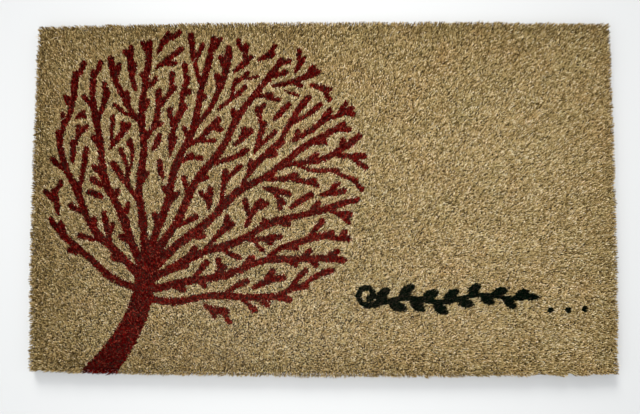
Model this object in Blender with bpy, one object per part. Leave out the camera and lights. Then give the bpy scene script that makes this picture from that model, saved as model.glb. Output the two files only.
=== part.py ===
"""Door mat: a sheet of moulded PVC with a dense coir pile set into its grooves,
and a printed decoration (a branching tree, a leafy sprig and three dots) dyed
into the tips of the pile.

Frame: metres, origin at the bottom centre of the bounding box, +X along the
length, +Y along the width towards the top of the decoration, +Z up.
"""
import math

import bmesh
import bpy
import numpy as np
from mathutils.geometry import tessellate_polygon

# --------------------------------------------------------------------------
# driving dimensions (m)
# --------------------------------------------------------------------------
MAT_L = 0.750            # length, along X
MAT_W = 0.450            # width, along Y
BACK_T = 0.0030          # thickness of the PVC sheet
GROOVE_PITCH = 0.0090    # spacing of the yarn rows across the width
GROOVE_W = 0.0036        # width of a groove in the PVC
GROOVE_D = 0.0012        # depth of a groove in the PVC
FIT = 0.0003             # clearance between neighbouring bodies
PILE_TOP = 0.0147        # height of the undyed pile surface
PILE_EDGE = 0.0015       # splay of the cut pile along its upper edges
DYE_T = 0.0005           # depth of the dyed tips
BACK_CORNER = 0.0020     # radius of the cut corners of the sheet

FORK = (-0.226, -0.096)          # where the limbs leave the trunk
CROWN_C = (-0.155, 0.028)        # centre of the crown
CROWN_R = (0.207, 0.190)         # half width and half height of the crown
TRUNK_R0 = 0.0190                # half width of the trunk at the mat's edge
TRUNK_R1 = 0.0132                # half width of the trunk under the fork
LIMB_R1 = 0.0043                 # half width of a limb at its tip
TWIG_GAP = 0.0050                # least bare strip between two twigs
TREE_SEED = 9
LEAST_MARK = 6.0e-5              # area of the smallest mark that is kept

# limbs: steps below the fork, first heading, end, last heading, half width
LIMBS = (
    (6, 162, -0.352, -0.030, 128, 0.0052),
    (3, 140, -0.345, 0.085, 98, 0.0058),
    (1, 116, -0.300, 0.165, 88, 0.0062),
    (0, 97, -0.226, 0.205, 84, 0.0060),
    (0, 78, -0.142, 0.210, 82, 0.0060),
    (0, 60, -0.052, 0.180, 52, 0.0062),
    (1, 43, 0.030, 0.095, 30, 0.0066),
    (3, 25, 0.048, -0.004, 12, 0.0060),
    (6, 6, 0.030, -0.082, -10, 0.0054),
    (8, -14, -0.030, -0.136, -20, 0.0050),
)
# twigs: length, half width, spacing along the branch, angle, share of free ones
ROUNDS = (
    (0.105, 0.0046, 0.034, 25, 0.10),
    (0.072, 0.0044, 0.026, 28, 0.40),
    (0.050, 0.0042, 0.019, 31, 0.60),
    (0.037, 0.0041, 0.014, 34, 0.70),
    (0.027, 0.0039, 0.011, 37, 0.60),
    (0.019, 0.0037, 0.009, 42, 0.35),
)

SPRIG_X0, SPRIG_X1 = 0.060, 0.262    # ends of the sprig's stem
SPRIG_Y = -0.1312                    # height of the stem's middle line
SPRIG_RISE = 0.0100                  # rise of the stem from end to end
SPRIG_AMP = 0.0036                   # swing of the stem
SPRIG_WAVE = 0.0950                  # length of one swing
STEM_R = 0.0027                      # half width of the stem
LEAF_L, LEAF_R = 0.0260, 0.0060      # length and half width of the first leaf
N_LEAVES = 13                        # leaves, on alternate sides
CURL_R = 0.0135                      # radius of the curl at the stem's start

DOT_R = 0.0035                       # radius of a dot
DOTS = ((0.2925, -0.1450), (0.3150, -0.1448), (0.3365, -0.1430))

GRID = 0.0010                        # resolution of the printed outline
SIMPLIFY = 0.00042                   # largest error of the printed outline


# --------------------------------------------------------------------------
# helpers
# --------------------------------------------------------------------------
def clear_scene():
    for ob in list(bpy.data.objects):
        bpy.data.objects.remove(ob, do_unlink=True)


def material(name, rgb, rough):
    m = bpy.data.materials.new(name)
    m.use_nodes = True
    b = m.node_tree.nodes["Principled BSDF"]
    b.inputs["Base Color"].default_value = (rgb[0], rgb[1], rgb[2], 1.0)
    b.inputs["Roughness"].default_value = rough
    return m


def face_outwards(bm):
    bmesh.ops.recalc_face_normals(bm, faces=bm.faces[:])
    if bm.calc_volume(signed=True) < 0.0:
        bmesh.ops.reverse_faces(bm, faces=bm.faces[:])


def finish_mesh(name, bm, mat):
    face_outwards(bm)
    me = bpy.data.meshes.new(name)
    bm.to_mesh(me)
    bm.free()
    me.materials.append(mat)
    ob = bpy.data.objects.new(name, me)
    bpy.context.scene.collection.objects.link(ob)
    return ob


def slab_from_loops(name, loops, z0, z1, mat):
    """A flat plate between z0 and z1 from one outer loop and any holes in it."""
    rings = [[(p[0], p[1], 0.0) for p in lp] for lp in loops]
    tris = tessellate_polygon(rings)
    flat = [p for r in rings for p in r]
    bm = bmesh.new()
    lo = [bm.verts.new((p[0], p[1], z0)) for p in flat]
    hi = [bm.verts.new((p[0], p[1], z1)) for p in flat]
    for a, b, c in tris:
        bm.faces.new((hi[a], hi[b], hi[c]))
        bm.faces.new((lo[c], lo[b], lo[a]))
    k = 0
    for r in rings:
        n = len(r)
        for i in range(n):
            j = (i + 1) % n
            bm.faces.new((lo[k + i], lo[k + j], hi[k + j], hi[k + i]))
        k += n
    return finish_mesh(name, bm, mat)


def extrude_profile_x(name, prof, x0, x1, mat):
    """A closed YZ outline run along X."""
    bm = bmesh.new()
    a = [bm.verts.new((x0, y, z)) for y, z in prof]
    b = [bm.verts.new((x1, y, z)) for y, z in prof]
    n = len(prof)
    bm.faces.new(a)
    bm.faces.new(list(reversed(b)))
    for i in range(n):
        j = (i + 1) % n
        bm.faces.new((a[i], a[j], b[j], b[i]))
    face_outwards(bm)
    return bm


# --------------------------------------------------------------------------
# the printed strokes: centre lines with a half width at every point
# --------------------------------------------------------------------------
def bezier(p0, p1, p2, p3, n):
    t = np.linspace(0.0, 1.0, n + 1)[:, None]
    p0, p1, p2, p3 = (np.array(p, float) for p in (p0, p1, p2, p3))
    return ((1 - t) ** 3 * p0 + 3 * (1 - t) ** 2 * t * p1
            + 3 * (1 - t) * t * t * p2 + t ** 3 * p3)


def in_crown(x, y, grow=0.0):
    """The crown is a full oval with a ragged rim."""
    dx, dy = x - CROWN_C[0], y - CROWN_C[1]
    a = math.atan2(dy, dx)
    rag = 1.0 + 0.020 * math.sin(3 * a + 1.1) + 0.024 * math.sin(8 * a + 0.4) \
        + 0.020 * math.sin(13 * a + 2.0)
    u = abs(dx) / (CROWN_R[0] * rag + grow)
    v = abs(dy) / (CROWN_R[1] * rag + grow)
    return u ** 2.35 + v ** 2.35 <= 1.0


def below_limbs(x, y):
    """The open ground under the crown, on either side of the trunk."""
    dx, dy = x - FORK[0], y - FORK[1]
    if dx < 0.0:
        return dy < -0.26 * dx - 0.006
    return dy < -0.60 * dx - 0.004 or (dx < 0.03 and dy < -0.012)


def make_limbs(rng):
    """The trunk and the limbs that fan out from its top."""
    trunk = bezier((-0.304, -0.246), (-0.262, -0.204), (-0.229, -0.160),
                   FORK, 44)
    t = np.linspace(0, 1, len(trunk))
    strokes = [(trunk, TRUNK_R0 + (TRUNK_R1 - TRUNK_R0) * np.minimum(1, 1.1 * t))]
    for back, d0, x1, y1, d1, r0 in LIMBS:
        p0 = trunk[len(trunk) - 1 - back]
        p3 = np.array((x1, y1))
        reach = math.hypot(*(p3 - p0))
        a0, a1 = math.radians(d0), math.radians(d1)
        u0 = np.array((math.cos(a0), math.sin(a0)))
        u1 = np.array((math.cos(a1), math.sin(a1)))
        n = int(reach / 0.0035)
        Q = bezier(p0, p0 + u0 * reach * 0.36, p3 - u1 * reach * 0.36, p3, n)
        k = np.linspace(0, 1, n + 1)
        T = np.gradient(Q, axis=0)
        T /= np.linalg.norm(T, axis=1)[:, None]
        sway = 0.0034 * np.sin(k * reach / 0.019 + rng.uniform(0, 6.28)) \
            * np.sin(math.pi * k)
        Q = Q + np.stack([-T[:, 1], T[:, 0]], 1) * sway[:, None]
        r = r0 + (LIMB_R1 - r0) * k ** 0.7
        r = r * (1 + 0.07 * np.sin(k * reach / 0.011 + rng.uniform(0, 6.28)))
        ok = [i for i in range(n + 1) if i < 12 or in_crown(*Q[i])]
        strokes.append((Q[:ok[-1] + 1], r[:ok[-1] + 1]))
    return strokes


def add_twigs(strokes, rng):
    """Side twigs, thicker to their rounded ends, wherever a bare strip is left
    for them. Some stop short of the branch that they point to."""
    xy = np.vstack([s[0] for s in strokes])
    rr = np.concatenate([s[1] for s in strokes])
    sid = np.concatenate([np.full(len(s[1]), k) for k, s in enumerate(strokes)])
    step = 0.0022
    for want, r0, pitch, angle, free in ROUNDS:
        seeds = []
        for k, (Q, r) in enumerate(strokes):
            if k == 0:
                continue
            run = np.concatenate([[0.0], np.cumsum(
                np.hypot(*np.diff(Q, axis=0).T))])
            at, side = rng.uniform(0.3, 1.0) * pitch, 1
            while at < run[-1] - 0.003:
                i = int(np.searchsorted(run, at)) - 1
                i = max(0, min(i, len(Q) - 2))
                seeds.append((k, i, side))
                seeds.append((k, i, -side))
                side = -side
                at += pitch * rng.uniform(0.35, 0.75)
        rng.shuffle(seeds)
        for k, i, side in seeds:
            k, i = int(k), int(i)
            Q, r = strokes[k]
            tx, ty = Q[i + 1] - Q[i]
            a = math.atan2(ty, tx) + side * math.radians(
                angle * rng.uniform(0.75, 1.25))
            x, y = Q[i]
            rt = min(r0, r[i])
            loose = rng.random_sample() < free
            pts, rad = ([], []) if loose else ([(x, y)], [rt * 0.62])
            curl = -side * rng.uniform(1.0, 13.0)
            length = want * rng.uniform(0.80, 1.30)
            done = 0.0
            while done < length:
                a += curl * step + rng.normal(0, 0.035)
                x += math.cos(a) * step
                y += math.sin(a) * step
                done += step
                ri = rt * (0.62 + 0.50 * min(1.0, done / length * 1.15))
                if not in_crown(x, y, -0.002) or below_limbs(x, y):
                    break
                gap = np.hypot(xy[:, 0] - x, xy[:, 1] - y) - rr - ri
                own = sid == k
                others = gap[~own].min() if (~own).any() else 1.0
                mine = gap[own].min()
                if others < TWIG_GAP and (done > 0.006 or loose):
                    break
                if done > 0.020 and mine < 0.0030:
                    break
                if loose and not pts and mine < 0.0027:
                    continue
                pts.append((x, y))
                rad.append(ri)
            clear = len(pts) * step - (0.0 if loose else r[i])
            if clear < max(0.0095, 0.55 * want):
                continue
            rad = np.array(rad)
            # the tip stays full even where the twig was cut short
            rad += (rt * 1.08 - rad[-1]) * np.linspace(0, 1, len(rad)) ** 2
            if loose:
                rad[:3] *= (0.62, 0.78, 0.92)
            strokes.append((np.array(pts), rad))
            xy = np.vstack([xy, pts])
            rr = np.concatenate([rr, rad])
            sid = np.concatenate([sid, np.full(len(pts), len(strokes) - 1)])
    return strokes


def make_sprig():
    """A running stem with leaves on both sides and a curl at its start."""
    n = 96
    t = np.linspace(0.0, 1.0, n)
    xs = SPRIG_X0 + (SPRIG_X1 - SPRIG_X0) * t
    ys = SPRIG_Y + SPRIG_RISE * (t - 0.5) \
        - SPRIG_AMP * np.cos((xs - SPRIG_X0) / SPRIG_WAVE * 2 * math.pi)
    stem = np.stack([xs, ys], 1)
    out = [(stem, STEM_R * (1.15 - 0.35 * t))]
    # curl at the start of the stem, ending in a small knob
    k = np.linspace(0, 1, 34)
    turn = -math.pi / 2 - 2 * math.pi * 0.90 * k
    reach = CURL_R * (1.0 - 0.58 * k)
    centre = stem[0] + np.array((0.0, CURL_R))
    curl = centre + np.stack([reach * np.cos(turn), reach * np.sin(turn)], 1)
    out.append((curl, STEM_R * (1.15 + 0.55 * np.clip(k * 6 - 5, 0, 1))))
    # leaves on alternate sides, smaller towards the tip
    for m in range(N_LEAVES):
        f = (m + 0.9) / (N_LEAVES + 0.6)
        i = int(f * (n - 2))
        p = stem[i]
        tx, ty = stem[i + 1] - stem[i]
        side = 1 if m % 2 == 0 else -1
        a = math.atan2(ty, tx) + side * math.radians(58 - 14 * f)
        ln = LEAF_L * (1.0 - 0.30 * f)
        w = LEAF_R * (1.0 - 0.24 * f)
        q = np.linspace(0, 1, 15)
        bend = a - side * 0.55 * q
        px = p[0] + np.concatenate([[0], np.cumsum(np.cos(bend[1:]) * ln / 14)])
        py = p[1] + np.concatenate([[0], np.cumsum(np.sin(bend[1:]) * ln / 14)])
        body = np.clip((q - 0.10) / 0.90, 0, 1)
        rad = 0.0007 + w * np.sin(math.pi * body ** 0.80) ** 0.85
        rad[q < 0.14] = STEM_R * 0.6
        out.append((np.stack([px, py], 1), rad))
    # closing leaf on the tip
    q = np.linspace(0, 1, 11)
    tip = stem[-1] + np.stack([q * 0.016, q * 0.0030 - 0.003 * q * q], 1)
    out.append((tip, 0.0008 + 0.0036 * np.sin(math.pi * q ** 0.85) ** 0.9))
    return out


# --------------------------------------------------------------------------
# outlines of the strokes
# --------------------------------------------------------------------------
def field(strokes, x0, y0, nx, ny, h):
    """Signed distance to the union of the strokes on a regular grid."""
    f = np.full((ny, nx), 0.02)
    for Q, r in strokes:
        for k in range(len(Q) - 1):
            ax, ay = Q[k]
            bx, by = Q[k + 1]
            m = max(r[k], r[k + 1]) + 3 * h
            i0 = max(0, int((min(ax, bx) - m - x0) / h))
            i1 = min(nx, int((max(ax, bx) + m - x0) / h) + 2)
            j0 = max(0, int((min(ay, by) - m - y0) / h))
            j1 = min(ny, int((max(ay, by) + m - y0) / h) + 2)
            if i1 <= i0 or j1 <= j0:
                continue
            X = x0 + h * np.arange(i0, i1)[None, :]
            Y = y0 + h * np.arange(j0, j1)[:, None]
            dx, dy = bx - ax, by - ay
            t = np.clip(((X - ax) * dx + (Y - ay) * dy)
                        / (dx * dx + dy * dy + 1e-15), 0, 1)
            d = np.hypot(X - ax - t * dx, Y - ay - t * dy) \
                - (r[k] + (r[k + 1] - r[k]) * t)
            f[j0:j1, i0:i1] = np.minimum(f[j0:j1, i0:i1], d)
    return f


def contours(f, x0, y0, h):
    """Closed zero lines of a field, the covered side on their left."""
    f = np.where(np.abs(f) < 1e-7, 1e-7, f)
    ny, nx = f.shape
    s = f < 0
    mixed = (s[:-1, :-1].astype(int) + s[:-1, 1:] + s[1:, :-1] + s[1:, 1:])
    nxt, where = {}, {}

    def cross(j, i, jj, ii):
        key = (j, i, jj, ii)
        if key not in where:
            a, b = f[j, i], f[jj, ii]
            t = min(0.97, max(0.03, a / (a - b) if a != b else 0.5))
            where[key] = (x0 + h * (i + (ii - i) * t),
                          y0 + h * (j + (jj - j) * t))
        return key

    for j, i in zip(*np.where((mixed > 0) & (mixed < 4))):
        j, i = int(j), int(i)
        c = (s[j, i], s[j, i + 1], s[j + 1, i + 1], s[j + 1, i])
        edge = (cross(j, i, j, i + 1), cross(j, i + 1, j + 1, i + 1),
                cross(j + 1, i, j + 1, i + 1), cross(j, i, j + 1, i))
        outs = [k for k in range(4) if c[k] and not c[(k + 1) % 4]]
        ins = [k for k in range(4) if not c[k] and c[(k + 1) % 4]]
        # walking round the cell, ink ends on edge "outs" and starts on "ins"
        if len(outs) == 1:
            nxt[edge[outs[0]]] = edge[ins[0]]
        else:
            mid = (f[j, i] + f[j, i + 1] + f[j + 1, i] + f[j + 1, i + 1]) < 0
            for o in outs:
                k = (o + 1) % 4 if mid else (o - 1) % 4
                nxt[edge[o]] = edge[k]
    loops = []
    while nxt:
        start = next(iter(nxt))
        k, loop = start, []
        while k in nxt:
            loop.append(where[k])
            k = nxt.pop(k)
        if len(loop) > 3:
            loops.append(np.array(loop))
    return loops


def area(lp):
    x, y = lp[:, 0], lp[:, 1]
    return 0.5 * float(np.sum(x * np.roll(y, -1) - y * np.roll(x, -1)))


def thin_out(lp, tol):
    """Drop the points of a closed line that lie within tol of it."""
    a = int(np.argmax(lp[:, 0] + lp[:, 1] * 0.3))
    lp = np.roll(lp, -a, axis=0)
    b = int(np.argmax(np.hypot(lp[:, 0] - lp[0, 0], lp[:, 1] - lp[0, 1])))
    keep = {0, b}
    pts = np.vstack([lp, lp[:1]])
    stack = [(0, b), (b, len(lp))]
    while stack:
        i, j = stack.pop()
        if j - i < 2:
            continue
        p, q = pts[i], pts[j]
        d = q - p
        n = math.hypot(*d) + 1e-12
        e = np.abs((pts[i + 1:j, 0] - p[0]) * d[1]
                   - (pts[i + 1:j, 1] - p[1]) * d[0]) / n
        k = int(np.argmax(e))
        if e[k] > tol:
            k += i + 1
            keep.add(k)
            stack += [(i, k), (k, j)]
    out = lp[sorted(keep)]
    if len(out) < 3:
        out = lp[:: max(1, len(lp) // 6)]
    return out


def contains(lp, p):
    x, y = lp[:, 0], lp[:, 1]
    x2, y2 = np.roll(x, -1), np.roll(y, -1)
    hit = ((y > p[1]) != (y2 > p[1]))
    xs = x + (p[1] - y) / np.where(y2 == y, 1e-12, y2 - y) * (x2 - x)
    return bool(np.sum(hit & (p[0] < xs)) % 2)


def shapes(f, x0, y0, h, tol, least):
    """Outer lines with their holes, the largest first."""
    lps = [thin_out(l, tol) for l in contours(f, x0, y0, h)]
    outer = [l for l in lps if area(l) > least]
    holes = [l for l in lps if area(l) < -least * 0.25]
    outer.sort(key=lambda l: -area(l))
    out = []
    for o in outer:
        out.append([o] + [q for q in holes if contains(o, q[0])])
    return out


# --------------------------------------------------------------------------
# bodies
# --------------------------------------------------------------------------
def row_centres():
    n = int(MAT_W / GROOVE_PITCH)
    return [(-0.5 * (n - 1) + k) * GROOVE_PITCH for k in range(n)]


def make_backing(mat):
    prof = [(-MAT_W / 2, 0.0), (MAT_W / 2, 0.0), (MAT_W / 2, BACK_T)]
    for y in reversed(row_centres()):
        prof += [(y + GROOVE_W / 2, BACK_T), (y + GROOVE_W / 2, BACK_T - GROOVE_D),
                 (y - GROOVE_W / 2, BACK_T - GROOVE_D), (y - GROOVE_W / 2, BACK_T)]
    prof.append((-MAT_W / 2, BACK_T))
    bm = extrude_profile_x("pvc_backing", prof, -MAT_L / 2, MAT_L / 2, mat)
    corner = [e for e in bm.edges
              if all(abs(abs(v.co.x) - MAT_L / 2) < 1e-7
                     and abs(abs(v.co.y) - MAT_W / 2) < 1e-7 for v in e.verts)]
    bmesh.ops.bevel(bm, geom=corner, offset=BACK_CORNER, segments=3,
                    profile=0.5, affect="EDGES")
    return finish_mesh("pvc_backing", bm, mat)


def make_pile(mat):
    z0 = BACK_T + FIT
    foot = BACK_T - GROOVE_D + FIT
    w = GROOVE_W / 2 - FIT
    prof = [(-MAT_W / 2, z0)]
    for y in row_centres():
        prof += [(y - w, z0), (y - w, foot), (y + w, foot), (y + w, z0)]
    prof += [(MAT_W / 2, z0), (MAT_W / 2, PILE_TOP), (-MAT_W / 2, PILE_TOP)]
    bm = extrude_profile_x("coir_pile", prof, -MAT_L / 2, MAT_L / 2, mat)

    def at_x(v):
        return abs(abs(v.co.x) - MAT_L / 2) < 1e-7

    def at_y(v):
        return abs(abs(v.co.y) - MAT_W / 2) < 1e-7
    # the splayed rim of the pile and its four upright corners
    rim = [e for e in bm.edges
           if (all(abs(v.co.z - PILE_TOP) < 1e-7 for v in e.verts)
               and (all(at_x(v) for v in e.verts) or all(at_y(v) for v in e.verts)))
           or all(at_x(v) and at_y(v) for v in e.verts)]
    bmesh.ops.bevel(bm, geom=rim, offset=PILE_EDGE, segments=2, profile=0.6,
                    affect="EDGES")
    return finish_mesh("coir_pile", bm, mat)


def make_tree():
    rng = np.random.RandomState(TREE_SEED)
    return add_twigs(make_limbs(rng), rng)


def main():
    clear_scene()
    pvc = material("black_pvc", (0.018, 0.018, 0.019), 0.55)
    coir = material("natural_coir", (0.43, 0.31, 0.15), 0.9)
    red = material("red_dye", (0.13, 0.014, 0.008), 0.85)
    dark = material("dark_dye", (0.010, 0.013, 0.009), 0.8)

    make_backing(pvc)
    make_pile(coir)

    z0, z1 = PILE_TOP + FIT, PILE_TOP + FIT + DYE_T

    # tree: the connected branches are one mark, the rest are loose marks
    x0, y0 = -0.372, -0.232
    nx = int((0.075 - x0) / GRID)
    ny = int((0.226 - y0) / GRID)
    f = field(make_tree(), x0, y0, nx, ny, GRID)
    Y = y0 + GRID * np.arange(ny)[:, None]
    f = np.maximum(f, (-MAT_W / 2 + PILE_EDGE + 0.0003) - Y)
    marks = shapes(f, x0, y0, GRID, SIMPLIFY, LEAST_MARK)
    slab_from_loops("tree_print", marks[0], z0, z1, red)
    rest = marks[1:]
    rest.sort(key=lambda s: (round(float(s[0][:, 1].mean()), 3),
                             float(s[0][:, 0].mean())))
    for k, s in enumerate(rest):
        slab_from_loops(f"loose_twig_{k + 1:02d}", s, z0, z1, red)

    # sprig and dots in the lower right
    h = GRID * 0.6
    x0, y0 = 0.032, -0.176
    nx, ny = int((0.300 - x0) / h), int((-0.085 - y0) / h)
    f = field(make_sprig(), x0, y0, nx, ny, h)
    sprig = shapes(f, x0, y0, h, SIMPLIFY * 0.6, 2.5e-5)
    slab_from_loops("sprig_print", sprig[0], z0, z1, dark)
    for k, (x, y) in enumerate(DOTS):
        ring = np.array([(x + DOT_R * math.cos(a), y + DOT_R * math.sin(a))
                         for a in np.linspace(0, 2 * math.pi, 25)[:-1]])
        slab_from_loops(f"dot_print_{k + 1}", [ring], z0, z1, dark)


main()
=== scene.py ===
"""Looks of a printed coir door mat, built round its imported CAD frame."""
import math

import bpy
import numpy as np
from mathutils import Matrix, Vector


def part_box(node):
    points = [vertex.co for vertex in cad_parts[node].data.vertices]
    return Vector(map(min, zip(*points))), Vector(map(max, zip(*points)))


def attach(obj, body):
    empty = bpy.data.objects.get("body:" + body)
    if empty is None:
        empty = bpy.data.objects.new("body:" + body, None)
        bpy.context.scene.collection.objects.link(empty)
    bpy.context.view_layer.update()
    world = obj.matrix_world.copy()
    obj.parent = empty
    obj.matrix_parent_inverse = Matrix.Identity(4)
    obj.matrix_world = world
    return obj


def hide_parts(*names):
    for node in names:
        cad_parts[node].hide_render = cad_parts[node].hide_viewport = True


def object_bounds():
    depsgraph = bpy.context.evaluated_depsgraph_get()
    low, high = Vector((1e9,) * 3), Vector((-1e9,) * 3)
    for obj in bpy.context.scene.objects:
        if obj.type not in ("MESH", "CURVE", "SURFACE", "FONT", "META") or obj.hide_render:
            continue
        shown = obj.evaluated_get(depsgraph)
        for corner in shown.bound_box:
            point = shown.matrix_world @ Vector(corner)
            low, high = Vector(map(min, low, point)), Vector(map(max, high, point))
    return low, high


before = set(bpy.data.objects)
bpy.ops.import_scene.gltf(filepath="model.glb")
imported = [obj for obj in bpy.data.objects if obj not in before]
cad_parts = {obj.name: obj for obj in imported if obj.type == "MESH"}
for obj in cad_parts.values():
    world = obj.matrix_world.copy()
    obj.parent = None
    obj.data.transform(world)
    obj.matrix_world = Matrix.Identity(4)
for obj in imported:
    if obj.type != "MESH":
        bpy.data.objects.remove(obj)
cad_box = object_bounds()
LO, HI = cad_box
RNG = np.random.RandomState(71)

# --------------------------------------------------------------------------
# sizes, all in metres, taken from the frame where the frame has them
# --------------------------------------------------------------------------
PVC_LO, PVC_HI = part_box("pvc_backing")
PILE_LO, PILE_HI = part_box("coir_pile")
HX, HY = PILE_HI.x, PILE_HI.y            # half length and half width
PVC_TOP = PVC_HI.z
TOP = PILE_HI.z                          # mean height of the pile
FOOT = PVC_TOP + 0.0002                  # where the tufts leave the backing
FUZZ = 0.0010                            # how far the cut tips stand out all round
PITCH = 0.00142                          # spacing of the fibre bundles
FIBRE_W = 0.00104                        # width of a bundle
BANDS = 12                               # pieces that the bare pile is split in
TREE_PARTS = 6                           # pieces that the tree's dyed pile is split in
CORE_TOP = 0.0088                        # height of the dense middle, coloured in painted shade
BOW_Y = 0.0052                           # how far the long edges bow outwards
BOW_X = 0.0032                           # how far the short edges bow outwards
CELL = 0.0004                            # resolution of the ink map

RED = ["tree_print"] + sorted(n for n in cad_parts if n.startswith("loose_twig"))
DARK = ["sprig_print"] + sorted(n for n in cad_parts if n.startswith("dot_print"))


# --------------------------------------------------------------------------
# where the dye lies, read from the frame's printed plates
# --------------------------------------------------------------------------
def ink_map(nodes):
    """For each cell of the upper face, 1 + the index of the plate over it, or 0."""
    nx, ny = int(2 * HX / CELL) + 1, int(2 * HY / CELL) + 1
    grid = np.zeros((ny, nx), np.int16)
    for k, name in enumerate(nodes):
        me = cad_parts[name].data
        me.calc_loop_triangles()
        co = np.array([v.co for v in me.vertices])
        z = co[:, 2].max() - 1e-5
        tri = np.array([t.vertices for t in me.loop_triangles])
        tri = tri[(co[tri][:, :, 2] > z).all(1)]
        for a, b, c in co[tri][:, :, :2]:
            lo = np.minimum(np.minimum(a, b), c)
            hi = np.maximum(np.maximum(a, b), c)
            i0, i1 = int((lo[0] + HX) / CELL), int((hi[0] + HX) / CELL) + 2
            j0, j1 = int((lo[1] + HY) / CELL), int((hi[1] + HY) / CELL) + 2
            i0, j0, i1, j1 = max(i0, 0), max(j0, 0), min(i1, nx), min(j1, ny)
            if i1 <= i0 or j1 <= j0:
                continue
            X = (np.arange(i0, i1) * CELL - HX)[None, :]
            Y = (np.arange(j0, j1) * CELL - HY)[:, None]

            def side(p, q):
                return (q[0] - p[0]) * (Y - p[1]) - (q[1] - p[1]) * (X - p[0])
            s1, s2, s3 = side(a, b), side(b, c), side(c, a)
            inside = ((s1 >= 0) & (s2 >= 0) & (s3 >= 0)) | (
                (s1 <= 0) & (s2 <= 0) & (s3 <= 0))
            grid[j0:j1, i0:i1][inside] = k + 1
    return grid


def look_up(grid, x, y):
    i = np.clip(((x + HX) / CELL + 0.5).astype(int), 0, grid.shape[1] - 1)
    j = np.clip(((y + HY) / CELL + 0.5).astype(int), 0, grid.shape[0] - 1)
    return grid[j, i]


def smooth_noise(x, y, size, rng):
    """Soft random field over the mat, about -1 to 1, with blobs of this size."""
    nx, ny = int(2.2 * HX / size) + 4, int(2.2 * HY / size) + 4
    g = rng.normal(0, 1, (ny, nx))
    u = (x + 1.1 * HX) / size + 1
    v = (y + 1.1 * HY) / size + 1
    i, j = np.floor(u).astype(int), np.floor(v).astype(int)
    fu, fv = u - i, v - j
    fu, fv = fu * fu * (3 - 2 * fu), fv * fv * (3 - 2 * fv)
    i, j = np.clip(i, 0, nx - 2), np.clip(j, 0, ny - 2)
    return ((g[j, i] * (1 - fu) + g[j, i + 1] * fu) * (1 - fv)
            + (g[j + 1, i] * (1 - fu) + g[j + 1, i + 1] * fu) * fv)


# --------------------------------------------------------------------------
# materials
# --------------------------------------------------------------------------
def lin(rgb):
    out = []
    for c in rgb:
        c = c / 255.0
        out.append(c / 12.92 if c <= 0.04045 else ((c + 0.055) / 1.055) ** 2.4)
    return (out[0], out[1], out[2], 1.0)


class Nodes:
    def __init__(self, name):
        self.mat = bpy.data.materials.new(name)
        self.mat.use_nodes = True
        self.t = self.mat.node_tree
        self.p = self.t.nodes["Principled BSDF"]

    def new(self, kind, **props):
        n = self.t.nodes.new(kind)
        for k, v in props.items():
            setattr(n, k, v)
        return n

    def link(self, a, b):
        self.t.links.new(a, b)

    def attribute(self, name, out="Fac"):
        return self.new("ShaderNodeAttribute", attribute_name=name).outputs[out]

    def ramp(self, fac, stops, mode="LINEAR"):
        n = self.new("ShaderNodeValToRGB")
        n.color_ramp.interpolation = mode
        el = n.color_ramp.elements
        while len(el) < len(stops):
            el.new(0.5)
        for e, (pos, col) in zip(el, stops):
            e.position = pos
            e.color = col
        self.link(fac, n.inputs["Fac"])
        return n.outputs["Color"]

    def math(self, op, a, b=None, c=None, clamp=False):
        n = self.new("ShaderNodeMath", operation=op, use_clamp=clamp)
        for k, v in enumerate((a, b, c)):
            if v is None:
                continue
            if hasattr(v, "is_output"):
                self.link(v, n.inputs[k])
            else:
                n.inputs[k].default_value = v
        return n.outputs[0]

    def mix(self, kind, fac, a, b):
        n = self.new("ShaderNodeMix", data_type="RGBA", blend_type=kind)
        for k, v in ((0, fac), (6, a), (7, b)):
            if hasattr(v, "is_output"):
                self.link(v, n.inputs[k])
            else:
                n.inputs[k].default_value = v
        return n.outputs[2]

    def noise(self, scale, detail=2.0, rough=0.5, vector=None, stretch=None):
        n = self.new("ShaderNodeTexNoise")
        n.inputs["Scale"].default_value = scale
        n.inputs["Detail"].default_value = detail
        n.inputs["Roughness"].default_value = rough
        if vector is None:
            vector = self.new("ShaderNodeTexCoord").outputs["Object"]
        if stretch is not None:
            m = self.new("ShaderNodeMapping")
            m.inputs["Scale"].default_value = stretch
            self.link(vector, m.inputs["Vector"])
            vector = m.outputs["Vector"]
        self.link(vector, n.inputs["Vector"])
        return n.outputs["Fac"]

    def bump(self, height, strength, distance):
        n = self.new("ShaderNodeBump")
        n.inputs["Strength"].default_value = strength
        n.inputs["Distance"].default_value = distance
        self.link(height, n.inputs["Height"])
        self.link(n.outputs["Normal"], self.p.inputs["Normal"])


COIR_STOPS = [(0.00, (96, 76, 38)), (0.14, (138, 115, 67)), (0.36, (173, 149, 98)),
              (0.62, (198, 174, 123)), (0.86, (221, 200, 155)), (1.00, (241, 226, 194))]
RED_STOPS = [(0.00, (34, 0, 0)), (0.28, (72, 1, 0)), (0.58, (101, 6, 4)),
             (0.85, (137, 30, 23)), (1.00, (166, 74, 56))]
DARK_STOPS = [(0.00, (0, 3, 1)), (0.45, (1, 11, 3)), (0.80, (4, 18, 7)),
              (1.00, (18, 33, 19))]


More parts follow.
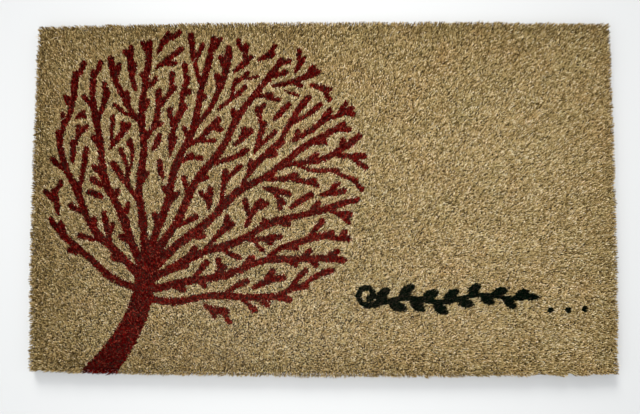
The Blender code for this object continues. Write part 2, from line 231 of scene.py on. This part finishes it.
def fibre_material(name, dye=None):
    """Cut coir: a colour per bundle, streaks along it, and painted shade that darkens it towards its foot.
    With dye, the tips carry the colour and the foot stays natural."""
    m = Nodes(name)
    tint = m.attribute("tint")
    up = m.attribute("up")
    streak = m.noise(900.0, 3.0, 0.6, stretch=(1.0, 1.0, 0.22))
    fac = m.math("ADD", tint, m.math("MULTIPLY", m.math("SUBTRACT", streak, 0.5), 0.34), clamp=True)
    col = m.ramp(fac, [(p, lin(c)) for p, c in COIR_STOPS])
    # painted shade: a bundle is darker and browner towards its foot, down in the pile
    foot = m.ramp(up, [(0.0, (0.42, 0.35, 0.24, 1)), (0.55, (0.80, 0.76, 0.66, 1)),
                       (0.90, (1, 1, 1, 1))])
    col = m.mix("MULTIPLY", 1.0, col, foot)
    # some bundles are redder, some a little green, and all change along their length
    cast = m.ramp(m.attribute("cast"), [(0.0, (0.93, 1.00, 0.98, 1)), (0.5, (1, 1, 1, 1)),
                                        (0.84, (1.03, 0.98, 0.95, 1)), (1.0, (1.04, 0.91, 0.80, 1))])
    col = m.mix("MULTIPLY", 1.0, col, cast)
    if dye is not None:
        ink = m.ramp(fac, [(p, lin(c)) for p, c in dye])
        take = m.attribute("ink")
        edge = m.noise(420.0, 2.0, 0.5)
        amount = m.math("ADD", take, m.math("MULTIPLY", m.math("SUBTRACT", edge, 0.5), 0.5), clamp=True)
        amount = m.math("MULTIPLY", amount, m.new("ShaderNodeMapRange").outputs[0])
        rng = amount.node.inputs[1].links[0].from_node
        m.link(up, rng.inputs["Value"])
        rng.inputs["From Min"].default_value = -0.30
        rng.inputs["From Max"].default_value = 0.06
        rng.interpolation_type = "SMOOTHSTEP"
        col = m.mix("MIX", amount, col, ink)
    m.link(col, m.p.inputs["Base Color"])
    base = 0.82 if dye is None else 0.72
    m.link(m.math("ADD", base - 0.14, m.math("MULTIPLY", streak, 0.28)), m.p.inputs["Roughness"])
    m.p.inputs["Specular IOR Level"].default_value = 0.22 if dye is None else 0.03
    m.bump(streak, 0.55, 0.00025)
    return m.mat


def pvc_material():
    m = Nodes("pvc")
    grain = m.noise(1400.0, 3.0, 0.6)
    blot = m.noise(38.0, 4.0, 0.55)
    dust = m.noise(260.0, 3.0, 0.7)
    col = m.ramp(blot, [(0.28, lin((24, 24, 25))), (0.50, lin((36, 36, 36))),
                        (0.72, lin((54, 53, 50)))])
    dusty = m.ramp(dust, [(0.56, (0, 0, 0, 1)), (0.76, (0.50, 0.50, 0.50, 1))])
    col = m.mix("MIX", dusty, col, lin((104, 92, 70)))
    m.link(col, m.p.inputs["Base Color"])
    m.link(m.math("ADD", 0.34, m.math("MULTIPLY", m.math("ADD", grain, blot), 0.22)), m.p.inputs["Roughness"])
    vor = m.new("ShaderNodeTexVoronoi", feature="SMOOTH_F1")
    vor.inputs["Scale"].default_value = 430.0
    m.link(m.new("ShaderNodeTexCoord").outputs["Object"], vor.inputs["Vector"])
    m.bump(m.math("ADD", m.math("MULTIPLY", vor.outputs["Distance"], 0.7),
                  m.math("MULTIPLY", grain, 0.3)), 1.0, 0.0022)
    return m.mat


def core_material():
    m = Nodes("pile_core")
    n = m.noise(600.0, 4.0, 0.65, stretch=(1.0, 1.0, 0.3))
    # painted shade: the core stands for the dense lower pile, and its brown-black is the shade down there, not
    # the fibres' own colour
    col = m.ramp(n, [(0.25, lin((28, 20, 11))), (0.55, lin((56, 42, 25))),
                     (0.80, lin((86, 68, 42)))])
    m.link(col, m.p.inputs["Base Color"])
    m.link(m.math("ADD", 0.80, m.math("MULTIPLY", n, 0.18)), m.p.inputs["Roughness"])
    m.bump(n, 0.8, 0.0006)
    return m.mat


# --------------------------------------------------------------------------
# the fibres
# --------------------------------------------------------------------------
def outline(x, y, grow=0.0):
    """How far inside the mat's slightly bowed outline a point lies."""
    bx = HX + FUZZ + BOW_X * (1 - (y / HY) ** 2) + grow
    by = HY + FUZZ + BOW_Y * (1 - (x / HX) ** 2) + grow
    return np.minimum(bx - np.abs(x), by - np.abs(y))


def scatter():
    """Tips of all bundles of the pile on a jittered triangular grid."""
    ex, ey = HX + FUZZ + BOW_X + 0.001, HY + FUZZ + BOW_Y + 0.001
    rows = int(2 * ey / (PITCH * 0.866))
    xs, ys = [], []
    for r in range(rows):
        n = int(2 * ex / PITCH)
        xs.append(-ex + (np.arange(n) + 0.5 * (r % 2)) * PITCH)
        ys.append(np.full(n, -ey + r * PITCH * 0.866))
    x, y = np.concatenate(xs), np.concatenate(ys)
    x = x + RNG.uniform(-0.52, 0.52, len(x)) * PITCH
    y = y + RNG.uniform(-0.52, 0.52, len(y)) * PITCH
    wander = 0.0008 * smooth_noise(x, y, 0.010, RNG) + 0.0006 * RNG.normal(0, 1, len(x))
    keep = outline(x, y) + wander > 0.0
    return x[keep], y[keep]


def tuft_field(x, y):
    """Nearest tuft of each bundle: tufts are about 5 mm across and share a lean."""
    s = 0.0050
    i, j = np.floor(x / s).astype(int), np.floor(y / s).astype(int)
    i0, j0 = i.min() - 2, j.min() - 2
    ni, nj = i.max() - i0 + 3, j.max() - j0 + 3
    px = RNG.uniform(0.05, 0.95, (nj, ni))
    py = RNG.uniform(0.05, 0.95, (nj, ni))
    best = np.full(len(x), 1e9)
    who = np.zeros(len(x), int)
    for di in (-1, 0, 1):
        for dj in (-1, 0, 1):
            a, b = i + di - i0, j + dj - j0
            cx = (i + di + px[b, a]) * s
            cy = (j + dj + py[b, a]) * s
            # tufts are longer along the lean than across it
            u = (x - cx) * 0.64 + (y - cy) * 0.77
            v = -(x - cx) * 0.77 + (y - cy) * 0.64
            d = (u * 0.72) ** 2 + (v * 1.2) ** 2
            near = d < best
            best = np.where(near, d, best)
            who = np.where(near, b * ni + a, who)
    return who, nj * ni, np.sqrt(best)


tip_x, tip_y = scatter()
N = len(tip_x)
tuft, n_tufts, from_mid = tuft_field(tip_x, tip_y)
tuft_az = math.radians(52) + RNG.normal(0, 0.42, n_tufts)
tuft_lean = np.clip(RNG.normal(0.46, 0.13, n_tufts), 0.05, 1.0)
tuft_h = RNG.normal(0, 0.00022, n_tufts)
tuft_tint = RNG.normal(0, 0.035, n_tufts)

inside = outline(tip_x, tip_y)
az = tuft_az[tuft] + RNG.normal(0, 0.50, N)
lean = np.clip(tuft_lean[tuft] + RNG.normal(0, 0.20, N), 0.0, 1.15)
flip = RNG.random_sample(N) < 0.10
az = np.where(flip, RNG.uniform(0, 2 * math.pi, N), az)
# fibres along the rim stand straighter and splay outwards a little
rim = np.clip(1.0 - inside / 0.0065, 0.0, 1.0)
out_x = np.where(HX - np.abs(tip_x) < HY - np.abs(tip_y), np.sign(tip_x), 0.0)
out_y = np.where(out_x == 0.0, np.sign(tip_y), 0.0)
lx = lean * np.cos(az) * (1 - rim) + rim * (0.14 * out_x + 0.10 * RNG.normal(0, 1, N))
ly = lean * np.sin(az) * (1 - rim) + rim * (0.14 * out_y + 0.10 * RNG.normal(0, 1, N))

tip_z = (TOP + 0.0003 + tuft_h[tuft]
         - 0.00065 * np.clip(from_mid / 0.0035, 0, 1) ** 2
         + 0.00016 * smooth_noise(tip_x, tip_y, 0.030, RNG)
         + RNG.normal(0, 0.00070, N)
         - 0.0009 * np.clip(1 - inside / 0.0022, 0, 1))
low = RNG.random_sample(N) < 0.06
tip_z = tip_z - low * RNG.uniform(0.0006, 0.0022, N)
tip_z = np.minimum(tip_z, HI.z + 0.0010)

# field bundles start just under the top of the core; rim ones on the backing
start_z = np.where(inside < 0.0048, FOOT, CORE_TOP - 0.0014)
drop = np.minimum(tip_z - start_z, 0.0062)     # the tip's offset from the foot is the lean times at most 6.2 mm of rise; the bundle stays straight
base_x = tip_x - lx * drop
base_y = tip_y - ly * drop
pull = outline(base_x, base_y)
width = FIBRE_W * np.clip(RNG.normal(1.0, 0.20, N), 0.55, 1.6)
# tint is each bundle's own tone at random, plus painted light and shade: lighter to the right, painted shade
# along the left edge, round the whole rim and towards the top edge, and a painted pool of light over the lower
# middle
tint = (0.51 + tuft_tint[tuft] + RNG.normal(0, 0.305, N)
        + 0.020 * smooth_noise(tip_x, tip_y, 0.060, RNG)
        + 0.035 * tip_x / HX - 0.06 * np.exp(-(tip_x + HX) / 0.07)
        - 0.12 * np.exp(-np.maximum(inside, 0) / 0.016)
        - 0.12 * np.exp(-np.maximum(inside, 0) / 0.050)
        - 0.10 * np.clip(tip_y / HY, 0, 1) ** 2
        + 0.18 * np.exp(-((tip_x + 0.05) / 0.20) ** 2 - ((tip_y + 0.17) / 0.09) ** 2))
tint = np.clip(tint + (RNG.random_sample(N) < 0.05) * RNG.uniform(0.10, 0.40, N), 0.02, 1.0)

cast = np.clip(0.48 + 0.10 * smooth_noise(tip_x, tip_y, 0.022, RNG)
               + RNG.normal(0, 0.20, N), 0.0, 1.0)

red_map, dark_map = ink_map(RED), ink_map(DARK)
jx = tip_x + RNG.normal(0, 0.00042, N)
jy = tip_y + RNG.normal(0, 0.00042, N)
red_at = look_up(red_map, jx, jy)
dark_at = look_up(dark_map, jx, jy)
for dx, dy in ((0.0006, 0), (-0.0006, 0), (0, 0.0006), (0, -0.0006)):
    more = look_up(dark_map, tip_x + dx, tip_y + dy)     # the thin strokes bleed
    dark_at = np.where(dark_at == 0, more, dark_at)
# bare pile within about 4.5 mm of the red dye is made lighter
near = np.zeros(N, bool)
for dx, dy in ((0.0045, 0), (-0.0045, 0), (0, 0.0045), (0, -0.0045)):
    near |= look_up(red_map, tip_x + dx, tip_y + dy) > 0
tint = np.clip(tint + 0.085 * (near & (red_at == 0)), 0.02, 1.0)
# the trunk's dye runs on over the cut rim
edge_y = np.clip(jy, -HY + 0.0024, HY - 0.0024)
red_rim = (look_up(red_map, jx, edge_y) > 0) & (jy < -HY + 0.0024)
red_at = np.where((red_at == 0) & red_rim, 1, red_at)
dark_at = np.where(red_at > 0, 0, dark_at)


def fibre_piece(name, pick, ink, mat):
    """One mesh of closed three-sided bundles, each straight from its foot to its tip."""
    idx = np.flatnonzero(pick)
    n = len(idx)
    turn = RNG.uniform(0, 2 * math.pi, n)
    w = width[idx] / 2
    bx, by, bz = base_x[idx], base_y[idx], start_z[idx]
    tx, ty, tz = tip_x[idx], tip_y[idx], tip_z[idx]
    lxx, lyy = lx[idx], ly[idx]
    co = np.zeros((n, 6, 3), np.float32)
    skew = RNG.normal(0, 0.35, (n, 2))
    for k in range(3):
        a = turn + k * 2 * math.pi / 3
        ca, sa = np.cos(a), np.sin(a)
        # the section is turned square to the bundle, so it stays as wide
        co[:, k, 0] = bx + w * ca * 1.08
        co[:, k, 1] = by + w * sa * 1.08
        co[:, k, 2] = bz
        rise = w * 0.84 * (ca * (skew[:, 0] - lxx) + sa * (skew[:, 1] - lyy))
        co[:, 3 + k, 0] = tx + w * 0.84 * ca
        co[:, 3 + k, 1] = ty + w * 0.84 * sa
        co[:, 3 + k, 2] = tz + np.clip(rise, -0.0006, 0.0006)
    face = np.array([[0, 1, 4], [0, 4, 3], [1, 2, 5], [1, 5, 4],
                     [2, 0, 3], [2, 3, 5], [3, 4, 5], [2, 1, 0]])
    faces = (face[None] + 6 * np.arange(n)[:, None, None]).reshape(-1, 3)
    me = bpy.data.meshes.new(name)
    me.vertices.add(6 * n)
    me.vertices.foreach_set("co", co.reshape(-1))
    me.loops.add(len(faces) * 3)
    me.loops.foreach_set("vertex_index", faces.reshape(-1).astype(np.int32))
    me.polygons.add(len(faces))
    me.polygons.foreach_set("loop_start", (np.arange(len(faces)) * 3).astype(np.int32))
    me.polygons.foreach_set("loop_total", np.full(len(faces), 3, np.int32))
    me.polygons.foreach_set("use_smooth", np.ones(len(faces), bool))
    me.update(calc_edges=True)
    # per-bundle tint, height along the bundle and share of dye
    def put(attr, values):
        a = me.attributes.new(attr, "FLOAT", "POINT")
        a.data.foreach_set("value", values.astype(np.float32).reshape(-1))
    put("tint", np.repeat(tint[idx], 6))
    put("cast", np.repeat(cast[idx], 6))
    zz = co[:, :, 2]
    put("up", np.clip((zz - (TOP - 0.0070)) / 0.0070, -1, 1))
    if ink:
        put("ink", np.repeat(np.clip(RNG.normal(1.30, 0.12, n), 0.8, 1.6), 6))
    # a map on which every bundle has a strip of its own
    side = int(math.ceil(math.sqrt(n)))
    col, row = np.arange(n) % side, np.arange(n) // side
    cell = 1.0 / side
    pad = 0.10
    u = np.array([pad, 0.37, 0.63, 1 - pad])
    uv = np.zeros((n, 8, 3, 2), np.float32)
    lo, mid, hi = pad, 0.74, 1 - pad

    def at(f, c, uu, vv):
        uv[:, f, c, 0] = (col + uu) * cell
        uv[:, f, c, 1] = (row + vv) * cell
    for s in range(3):
        u0, u1 = u[s], u[s + 1]
        at(2 * s, 0, u0, lo); at(2 * s, 1, u1, lo); at(2 * s, 2, u1, mid)
        at(2 * s + 1, 0, u0, lo); at(2 * s + 1, 1, u1, mid); at(2 * s + 1, 2, u0, mid)
    at(6, 0, 0.25, mid + 0.03); at(6, 1, 0.75, mid + 0.03); at(6, 2, 0.5, hi)
    at(7, 0, 0.40, pad * 0.4); at(7, 1, 0.60, pad * 0.4); at(7, 2, 0.5, pad * 0.9)
    layer = me.uv_layers.new(name="OFBake")
    layer.uv.foreach_set("vector", uv.reshape(-1))
    me.materials.append(mat)
    ob = bpy.data.objects.new(name, me)
    bpy.context.scene.collection.objects.link(ob)
    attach(ob, "root")
    return ob


coir_mat = fibre_material("coir_natural")
red_mat = fibre_material("coir_red", RED_STOPS)
dark_mat = fibre_material("coir_dark", DARK_STOPS)

bare = (red_at == 0) & (dark_at == 0)
band = np.clip(((tip_y + HY) / (2 * HY) * BANDS).astype(int), 0, BANDS - 1)
for k in range(BANDS):
    ob = fibre_piece(f"pile_row_{k + 1:02d}", bare & (band == k), False, coir_mat)
    if k == 0:
        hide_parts("coir_pile")
is_tree = red_at == 1
cuts = np.quantile(tip_y[is_tree], np.linspace(0, 1, TREE_PARTS + 1)[1:-1])
part = np.searchsorted(cuts, tip_y)
for k in range(TREE_PARTS):
    ob = fibre_piece(f"tree_dyed_{k + 1}", is_tree & (part == k), True, red_mat)
    if k == 0:
        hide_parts("tree_print")
loose = fibre_piece("loose_twigs_dyed", red_at > 1, True, red_mat)
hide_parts(*RED[1:])
sprig = fibre_piece("sprig_dyed", dark_at == 1, True, dark_mat)
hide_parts(DARK[0])
dots = fibre_piece("dots_dyed", dark_at > 1, True, dark_mat)
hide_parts(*DARK[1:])


def stray_piece(name, n_top, n_rim, mat, seed=9):
    """Single loose fibres: some lie across the pile, some stand out of the rim."""
    rng = np.random.RandomState(seed)
    segs, n = 6, n_top + n_rim
    co = np.zeros((n, segs + 1, 3, 3))
    for f in range(n):
        t = np.linspace(0, 1, segs + 1)
        if f < n_top:
            ln = rng.uniform(0.006, 0.016)
            a = math.radians(50) + rng.normal(0, 0.9)
            turn_by = rng.normal(0, 0.9)
            while True:
                x0 = rng.uniform(-HX + 0.012, HX - 0.012)
                y0 = rng.uniform(-HY + 0.012, HY - 0.012)
                # few of them lie over the print
                sx = x0 + np.cos(a + turn_by * t) * ln * t
                sy = y0 + np.sin(a + turn_by * t) * ln * t
                over = (look_up(red_map, sx, sy) > 0) | (look_up(dark_map, sx, sy) > 0)
                if not over.any() or rng.random_sample() < 0.05:
                    break
            z = TOP + 0.0001 + rng.uniform(0.0002, 0.0010) * np.sin(math.pi * t) \
                - 0.0012 * (1 - t) ** 3
        else:
            ln = rng.uniform(0.0030, 0.0068)
            if rng.random_sample() < HX / (HX + HY):
                side = rng.choice((-1, 1))
                x0, y0 = rng.uniform(-HX + 0.004, HX - 0.004), side * (HY - 0.0005)
                a = side * math.pi / 2 + rng.normal(0, 0.5)
            else:
                side = rng.choice((-1, 1))
                x0, y0 = side * (HX - 0.0005), rng.uniform(-HY + 0.004, HY - 0.004)
                a = (0 if side > 0 else math.pi) + rng.normal(0, 0.5)
            turn_by = rng.normal(0, 0.8)
            z0 = rng.uniform(0.0060, TOP - 0.0008)
            z = z0 + rng.uniform(-0.0022, 0.0012) * t ** 2
        head = a + turn_by * t
        px = x0 + np.concatenate([[0], np.cumsum(np.cos(head[1:]) * ln / segs)])
        py = y0 + np.concatenate([[0], np.cumsum(np.sin(head[1:]) * ln / segs)])
        r = rng.uniform(0.00016, 0.00027) * (1 - 0.55 * t ** 2)
        for k in range(3):
            b = k * 2 * math.pi / 3
            co[f, :, k, 0] = px - np.sin(head) * r * math.cos(b)
            co[f, :, k, 1] = py + np.cos(head) * r * math.cos(b)
            co[f, :, k, 2] = z + r * math.sin(b)
    faces, uvs = [], []
    side = int(math.ceil(math.sqrt(n)))
    for f in range(n):
        base = f * (segs + 1) * 3
        cx, cy = (f % side) / side, (f // side) / side
        for j in range(segs):
            for k in range(3):
                m = (k + 1) % 3
                faces.append((base + j * 3 + k, base + (j + 1) * 3 + k,
                              base + (j + 1) * 3 + m, base + j * 3 + m))
                u0, u1 = (0.1 + 0.26 * k) / side, (0.1 + 0.26 * (k + 1)) / side
                v0, v1 = (0.1 + 0.8 * j / segs) / side, (0.1 + 0.8 * (j + 1) / segs) / side
                uvs += [(cx + u0, cy + v0), (cx + u0, cy + v1), (cx + u1, cy + v1),
                        (cx + u1, cy + v0)]
        e = base + segs * 3
        faces += [(base, base + 1, base + 2), (e + 2, e + 1, e)]
        for v in (0.02, 0.94):
            uvs += [(cx + 0.3 / side, cy + v / side), (cx + 0.6 / side, cy + v / side),
                    (cx + 0.45 / side, cy + (v + 0.04) / side)]
    me = bpy.data.meshes.new(name)
    me.from_pydata(co.reshape(-1, 3).tolist(), [], faces)
    me.uv_layers.new(name="OFBake").uv.foreach_set("vector", np.array(uvs, np.float32).reshape(-1))
    me.polygons.foreach_set("use_smooth", np.ones(len(faces), bool))
    per = (segs + 1) * 3
    tn = me.attributes.new("tint", "FLOAT", "POINT")
    tn.data.foreach_set("value", np.repeat(rng.uniform(0.62, 0.98, n), per).astype(np.float32))
    ca = me.attributes.new("cast", "FLOAT", "POINT")
    ca.data.foreach_set("value", np.repeat(rng.uniform(0.2, 0.9, n), per).astype(np.float32))
    up = me.attributes.new("up", "FLOAT", "POINT")
    up.data.foreach_set("value", np.full(n * per, 0.95, np.float32))
    me.materials.append(mat)
    ob = bpy.data.objects.new(name, me)
    bpy.context.scene.collection.objects.link(ob)
    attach(ob, "root")
    return ob


stray_piece("stray_fibres", 230, 170, coir_mat)


# --------------------------------------------------------------------------
# core of the pile and the backing
# --------------------------------------------------------------------------
def ring(hx, hy, r, n, bow_x=0.0, bow_y=0.0, rough=0.0, seed=1):
    """Points round a bowed rectangle with rounded corners."""
    rng = np.random.RandomState(seed)
    pts = []
    for x0, y0, x1, y1 in ((-hx + r, -hy, hx - r, -hy), (hx, -hy + r, hx, hy - r),
                           (hx - r, hy, -hx + r, hy), (-hx, hy - r, -hx, -hy + r)):
        m = n if abs(x1 - x0) > abs(y1 - y0) else int(n * HY / HX)
        for k in range(m + 1):
            t = k / m
            pts.append((x0 + (x1 - x0) * t, y0 + (y1 - y0) * t))
        # the corner that follows
        a0 = math.atan2(y1 - y0, x1 - x0) - math.pi / 2
        cx = x1 - r * math.cos(a0)
        cy = y1 - r * math.sin(a0)
        for k in range(1, 6):
            a = a0 + math.pi / 2 * k / 6
            pts.append((cx + r * math.cos(a), cy + r * math.sin(a)))
    p = np.array(pts)
    out = np.stack([p[:, 0] * (1 + bow_x / hx * (1 - (p[:, 1] / hy) ** 2)),
                    p[:, 1] * (1 + bow_y / hy * (1 - (p[:, 0] / hx) ** 2))], 1)
    if rough:
        w = rng.normal(0, rough, len(out))
        w = (w + np.roll(w, 1) + np.roll(w, -1)) / 2
        d = out / np.linalg.norm(out, axis=1)[:, None]
        out = out + d * w[:, None]
    return out


def lofted(name, rings, mat):
    """A closed body through rings of equal counts, capped at both ends."""
    n = len(rings[0][0])
    co, faces = [], []
    for r, z in rings:
        zz = np.full(n, z) if np.isscalar(z) else z
        co.append(np.column_stack([r, zz]))
    for k in range(len(rings) - 1):
        a, b = k * n, (k + 1) * n
        for i in range(n):
            j = (i + 1) % n
            faces.append((a + i, a + j, b + j, b + i))
    base = len(rings) * n
    first, last = rings[0][1], rings[-1][1]
    mids = np.array([[0, 0, np.mean(first)], [0, 0, np.mean(last)]])
    for i in range(n):
        j = (i + 1) % n
        faces.append((base, j, i))
        faces.append((base + 1, (len(rings) - 1) * n + i, (len(rings) - 1) * n + j))
    me = bpy.data.meshes.new(name)
    me.from_pydata(np.vstack(co + [mids]).tolist(), [], faces)
    me.materials.append(mat)
    me.update()
    ob = bpy.data.objects.new(name, me)
    bpy.context.scene.collection.objects.link(ob)
    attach(ob, "root")
    return ob


core_rings = []
for z, inset, s in ((PVC_TOP + 0.0001, 0.0030, 3), (0.0060, 0.0034, 4), (CORE_TOP - 0.0008, 0.0036, 5),
                    (CORE_TOP, 0.0050, 6)):
    core_rings.append((ring(HX - inset, HY - inset, 0.003, 150, BOW_X, BOW_Y, 0.0002, s), z))
lofted("pile_core", core_rings, core_material())

pvc_rings = []
for z, inset, s in ((0.0, 0.0012, 11), (0.0003, 0.0004, 12), (0.0010, 0.0, 12), (PVC_TOP - 0.0005, 0.0001, 12),
                    (PVC_TOP, 0.0006, 12)):
    pvc_rings.append((ring(HX - inset, HY - inset, 0.0024, 150, 0.0, 0.0, 0.00022, s), z))
back = lofted("pvc_sheet", pvc_rings, pvc_material())
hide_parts("pvc_backing")

# --------------------------------------------------------------------------
# stage, light and camera
# --------------------------------------------------------------------------
scene = bpy.context.scene
scene.view_settings.view_transform = "Standard"
scene.view_settings.look = "None"

me = bpy.data.meshes.new("floor")
S = 40.0
me.from_pydata([(S * math.cos(k * math.pi / 48), S * math.sin(k * math.pi / 48), 0)
                for k in range(96)], [], [tuple(range(96))])
floor = bpy.data.objects.new("floor", me)
scene.collection.objects.link(floor)
floor.location.z = -0.0001
fm = Nodes("floor_white")
fm.p.inputs["Base Color"].default_value = (0.606, 0.607, 0.606, 1)
fm.p.inputs["Roughness"].default_value = 0.9
fm.p.inputs["Specular IOR Level"].default_value = 0.1
me.materials.append(fm.mat)

world = bpy.data.worlds.new("studio")
scene.world = world
world.use_nodes = True
wt = world.node_tree
bg = wt.nodes["Background"]
bg.inputs["Strength"].default_value = 0.715
# a soft sky, paler overhead, that meets the floor's tone at the horizon
wc = wt.nodes.new("ShaderNodeTexCoord")
wx = wt.nodes.new("ShaderNodeSeparateXYZ")
wr = wt.nodes.new("ShaderNodeMapRange")
wr.interpolation_type = "SMOOTHSTEP"
wr.inputs["From Max"].default_value = 0.7
wm = wt.nodes.new("ShaderNodeMix")
wm.data_type = "RGBA"
wm.inputs[6].default_value = (0.900, 0.915, 0.925, 1)
wm.inputs[7].default_value = (0.985, 1.025, 1.055, 1)
wt.links.new(wc.outputs["Generated"], wx.inputs[0])
wt.links.new(wx.outputs["Z"], wr.inputs["Value"])
wt.links.new(wr.outputs[0], wm.inputs[0])
wt.links.new(wm.outputs[2], bg.inputs["Color"])


def area(name, at, to, size, power, colour=(1, 1, 1), spread=180):
    data = bpy.data.lights.new(name, "AREA")
    data.shape = "RECTANGLE"
    data.size, data.size_y = size
    data.energy = power
    data.color = colour
    data.spread = math.radians(spread)
    ob = bpy.data.objects.new(name, data)
    scene.collection.objects.link(ob)
    ob.location = at
    ob.rotation_euler = (Vector(to) - Vector(at)).to_track_quat("-Z", "Y").to_euler()
    return ob


# the key is a broad, distant panel, so the floor is as light far off as near by
key = bpy.data.lights.new("key", "SUN")
key.energy = 2.42
key.angle = math.radians(25)
key.color = (1.0, 0.99, 0.97)
key_ob = bpy.data.objects.new("key", key)
scene.collection.objects.link(key_ob)
key_ob.location = (-0.80, 3.84, 2.32)
key_ob.rotation_euler = (-Vector((-0.80, 3.84, 2.32))).to_track_quat("-Z", "Y").to_euler()
area("pool", (-0.02, 0.07, 1.45), (-0.02, 0.07, 0), (0.35, 0.35), 1.30, (1.0, 0.99, 0.97), 56)
area("fill", (-1.4, -0.8, 1.8), (0, 0, 0), (1.6, 1.6), 10, (0.97, 0.98, 1.0))

cam_data = bpy.data.cameras.new("camera")
cam_data.lens = 35
cam_data.sensor_width = 36
cam = bpy.data.objects.new("camera", cam_data)
scene.collection.objects.link(cam)
cam.location = (0.0147, -0.0598, 0.8175)
cam.rotation_euler = (math.radians(3.29), math.radians(1.143), math.radians(0.065))
cam_data.clip_start = 0.01
cam_data.clip_end = 50
scene.camera = cam
